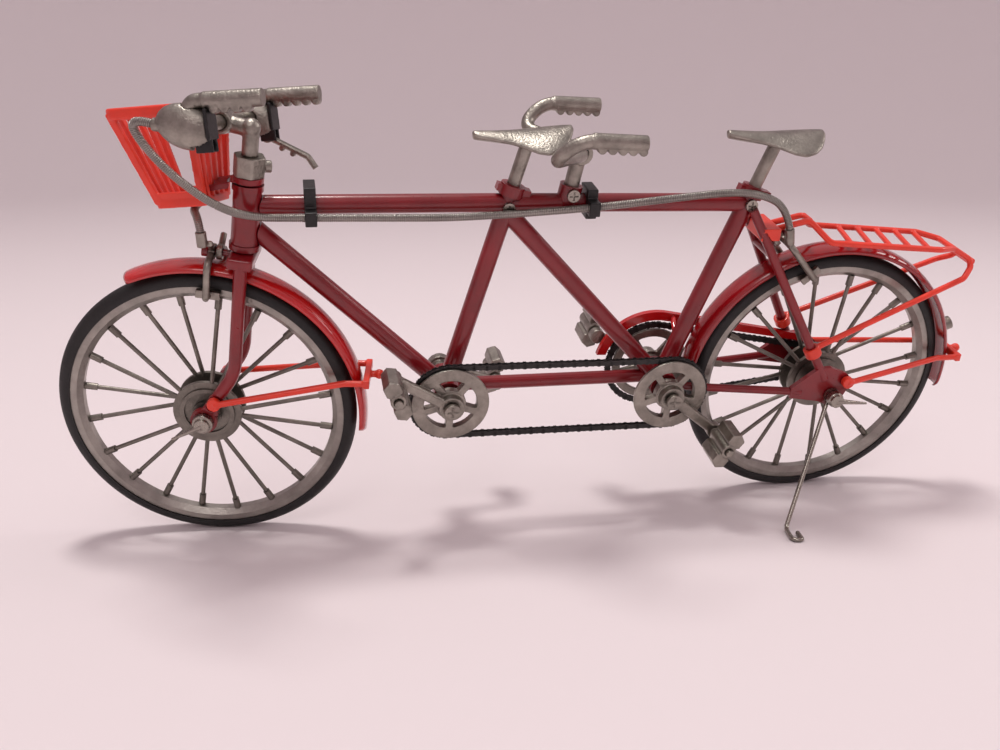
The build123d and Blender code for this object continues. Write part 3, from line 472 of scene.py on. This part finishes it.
def chain(name, node, c1, r1, c2, r2, y):
    pins = loop_path(c1, r1, c2, r2)
    plate = plate_outline()
    pin = [(PIN_R * cos(2 * pi * k / PIN_SIDES), PIN_R * sin(2 * pi * k / PIN_SIDES))
           for k in range(PIN_SIDES)]
    bm = bmesh.new()
    for i, (x0, z0) in enumerate(pins):
        x1, z1 = pins[(i + 1) % len(pins)]
        ang = atan2(z1 - z0, x1 - x0)
        ux, uz = cos(ang), sin(ang)
        mx, mz = (x0 + x1) / 2, (z0 + z1) / 2
        depths = OUTER_PLATE if i % 2 == 0 else INNER_PLATE
        for side in (-1, 1):
            block(bm, [[(mx + ux * u - uz * v, y + side * depth, mz + uz * u + ux * v) for u, v in plate]
                       for depth in depths])
        block(bm, [[(x0 + u, y + end, z0 + v) for u, v in pin] for end in (-PIN_HALF, PIN_HALF)])
    out_normals(bm)
    piece(name, bm, CHAIN_BLACK, "frame", node, smooth=False)


def xz(joint):
    p = local(JOINT[joint]["pos_m"])
    return (p[0], p[2])


def pitch_r(teeth):
    return CHAIN_PITCH / (2 * sin(pi / teeth))


BB1, BB2 = xz("front_crank_spin"), xz("rear_crank_spin")
chain("timing_chain_links", "timing_chain", BB1, pitch_r(TIMING_TEETH), BB2, pitch_r(TIMING_TEETH), TIMING_Y)
chain("drive_chain_links", "drive_chain", BB2, pitch_r(DRIVE_TEETH), (0, 0), pitch_r(SPROCKET_TEETH), DRIVE_Y)

# ================= fenders: one rolled section, ends rounded =================
FENDER_R = 36.55
FENDER_HALF = 3.55
FENDER_DROP = 1.75
FENDER_ROLL = 0.75
SHEET = 0.5
FENDER_STEPS, SECTION_STEPS = 120, 14
END_LENGTH = 2.6
END_START = 0.25
END_WIDTH = 0.55
FRONT_AXLE = (-151.3, 0, 0)
REAR_AXLE = (0, 0, 0)


def fender_section(width):
    """Points (radius, y) round the rolled section, outside first and back along the inside."""
    angles = [pi * (k / SECTION_STEPS - 0.5) for k in range(SECTION_STEPS + 1)]
    low = FENDER_R - FENDER_DROP
    outside = [(low + FENDER_DROP * abs(cos(a)) ** FENDER_ROLL, width * sin(a)) for a in angles]
    inside = [(low + (FENDER_DROP - SHEET) * abs(cos(a)) ** FENDER_ROLL, (width - SHEET) * sin(a))
              for a in reversed(angles)]
    return outside + inside


def fender(name, node, centre, low_deg, high_deg, move, body, material):
    bm = bmesh.new()
    rings = []
    length = radians(high_deg - low_deg) * FENDER_R
    for i in range(FENDER_STEPS + 1):
        f = i / FENDER_STEPS
        theta = radians(low_deg + (high_deg - low_deg) * f)
        near_end = min(f, 1 - f) * length
        ease = min(1.0, (near_end + END_START) / END_LENGTH)
        width = FENDER_HALF * (END_WIDTH + (1 - END_WIDTH) * sqrt(1 - (1 - ease) ** 2))
        rings.append([bm.verts.new(at(move((centre[0] + r * cos(theta), y, centre[2] + r * sin(theta)))))
                      for r, y in fender_section(width)])
    skin(bm, rings)
    close_shell(bm, rings)
    out_normals(bm)
    piece(name, bm, material, body, node)


# the front fender takes the lit copy of the enamel (painted light) and the rear fender the shaded copy
# (painted shade)
fender("front_fender_rolled", "front_fender", FRONT_AXLE, -7, 115, fork, "fork", LIT_FENDER_RED)
fender("rear_fender_rolled", "rear_fender", REAR_AXLE, -7, 175, same, "frame", SHADED_REAR_FENDER_RED)

# ================= saddles: crowned shells with a thin rolled edge =================
# (share of the length from the nose, half width)
SADDLE_OUTLINE = [(0.0, 0.6), (0.04, 1.5), (0.2, 2.4), (0.36, 3.6), (0.48, 5.2), (0.60, 7.2), (0.70, 8.0),
                  (0.81, 7.3), (0.90, 5.5), (0.97, 2.9), (1.0, 1.0)]
SADDLE_STEPS, SADDLE_ACROSS = 40, 14
SPINE_SAG = 0.5
CROWN_POWER = 1.9
CROWN_PER_WIDTH, CROWN_LEAST = 0.40, 0.05
EDGE_THICK = 0.55
UNDER_WIDTH = 0.97
THICK_ENDS, THICK_MIDDLE, THICK_SHIFT = 1.9, 0.7, 1.1


def half_width(u):
    for (u0, w0), (u1, w1) in zip(SADDLE_OUTLINE, SADDLE_OUTLINE[1:]):
        if u <= u1:
            return w0 + (w1 - w0) * (u - u0) / (u1 - u0)
    return SADDLE_OUTLINE[-1][1]


def saddle(name, node, nose_x, length, nose_z, rear_z, body):
    bm = bmesh.new()
    rings = []
    across = [-1 + 2 * k / SADDLE_ACROSS for k in range(SADDLE_ACROSS + 1)]
    for i in range(SADDLE_STEPS + 1):
        u = i / SADDLE_STEPS
        x = nose_x + length * u
        w = half_width(u)
        spine = nose_z + (rear_z - nose_z) * u - SPINE_SAG * sin(pi * u)
        drop = CROWN_PER_WIDTH * w + CROWN_LEAST
        swell = THICK_ENDS + THICK_MIDDLE * sin(pi * min(1, u * THICK_SHIFT)) - EDGE_THICK
        top = [(s, spine - drop * abs(s) ** CROWN_POWER) for s in across]
        ring = [(w * s, z) for s, z in top]
        ring += [(w * UNDER_WIDTH * s, z - EDGE_THICK - swell * (1 - s * s)) for s, z in reversed(top)]
        rings.append([bm.verts.new(at((x, y, z))) for y, z in ring])
    skin(bm, rings)
    close_shell(bm, rings)
    out_normals(bm)
    o = piece(name, bm, PEWTER, body, node)
    sub = o.modifiers.new("subdivision", "SUBSURF")
    sub.levels = sub.render_levels = 1
    apply(o)


saddle("front_saddle_shell", "front_saddle", -91.7, 21.9, 64.8, 65.9, "front_seat")
saddle("rear_saddle_shell", "rear_saddle", -33.9, 23.2, 64.5, 64.4, "rear_seat")

# ================= castings and mouldings with rounded edges =================
# (node, voxel size, rounds of smoothing)
for node, voxel, rounds in (
        ("basket", 0.2, 4), ("rear_rack", 0.2, 4), ("front_fender_stays", 0.17, 4),
        ("rear_fender_stays", 0.17, 4), ("front_handlebar", 0.2, 5), ("stoker_handlebar", 0.2, 5),
        ("brake_hoods", 0.2, 4),
        ("lever_mounts", 0.16, 2), ("front_caliper_left", 0.14, 3), ("front_caliper_right", 0.14, 3),
        ("rear_caliper_left", 0.14, 3), ("rear_caliper_right", 0.14, 3), ("front_pedal_left", 0.17, 3),
        ("front_pedal_right", 0.17, 3), ("rear_pedal_left", 0.17, 3), ("rear_pedal_right", 0.17, 3),
        ("front_crank_left", 0.14, 2), ("front_crank_right", 0.16, 2), ("rear_crank_left", 0.14, 2),
        ("rear_crank_right", 0.16, 2), ("brake_lever_right", 0.13, 3), ("cable_clips", 0.15, 3),
        ("front_stem", 0.16, 4), ("stoker_stem", 0.16, 4), ("stem_clamp", 0.15, 2),
        ("basket_bracket", 0.15, 2), ("front_axle", 0.15, 2), ("rear_axle", 0.15, 2)):
    soften(node, voxel, rounds)

# ================= camera and light, in metres =================
CAMERA_AT = (-0.05820, -0.22975, 0.10490)
CAMERA_TILT, CAMERA_PAN = 74.354, -11.337
LENS, SENSOR = 37.08, 36.0
WORLD_PALE = (0.78, 0.69, 0.71, 1)
WORLD_STRENGTH = 0.80
FLOOR_PALE = (0.80, 0.735, 0.75, 1)

camera = bpy.data.cameras.new("camera")
camera.lens = LENS
camera.sensor_width = SENSOR
camera.clip_start = 0.01
camera_object = new_object("camera", camera)
camera_object.location = CAMERA_AT
camera_object.rotation_euler = (radians(CAMERA_TILT), 0, radians(CAMERA_PAN))
bpy.context.scene.camera = camera_object


def area(name, place, target, size, watts, color):
    light = bpy.data.lights.new(name, "AREA")
    light.energy = watts
    light.size = size
    light.color = color
    o = new_object(name, light)
    o.location = place
    o.rotation_euler = (Vector(place) - Vector(target)).to_track_quat("Z", "Y").to_euler()


area("key", (-0.10, 0.10, 0.85), (0.0, 0.0, 0.04), 0.16, 3.3, (1.0, 0.95, 0.92))
area("front", (-0.25, -0.75, 0.75), (0, 0, 0.05), 0.35, 1.3, (1.0, 0.94, 0.93))
area("rim", (0.65, -0.05, 0.40), (0, 0, 0.05), 0.25, 0.9, (1.0, 0.95, 0.93))
world = bpy.data.worlds.new("world")
world.use_nodes = True
background = world.node_tree.nodes["Background"]
background.inputs["Color"].default_value = WORLD_PALE
background.inputs["Strength"].default_value = WORLD_STRENGTH
bpy.context.scene.world = world
bpy.context.scene.view_settings.view_transform = "Standard"

# ================= floor: flat, then curved up far away on every side so that no edge shows =================
FLAT_R = 0.9
CURVE_R = 0.6
WALL_TOP = 1.6
FLOOR_SIDES = 96
CURVE_STEP = 6
floor_paint = bpy.data.materials.new("floor")
floor_paint.use_nodes = True
paint = floor_paint.node_tree.nodes["Principled BSDF"]
paint.inputs["Base Color"].default_value = FLOOR_PALE
paint.inputs["Roughness"].default_value = 0.9
paint.inputs["Specular IOR Level"].default_value = 0.1
profile = [(FLAT_R / 2, 0.0)]
profile += [(FLAT_R + CURVE_R * sin(radians(a)), CURVE_R * (1 - cos(radians(a))))
            for a in range(0, 91, CURVE_STEP)]
profile.append((FLAT_R + CURVE_R, WALL_TOP))
bm = bmesh.new()
rings = [ring_verts(bm, Vector((0, 0, z)), Vector((1, 0, 0)), Vector((0, 1, 0)), r, FLOOR_SIDES)
         for r, z in profile]
skin(bm, rings)
bm.faces.new(rings[0])
out_normals(bm)
floor_mesh = to_mesh("floor", bm, floor_paint)
shade_smooth(floor_mesh)
floor = new_object("floor", floor_mesh)
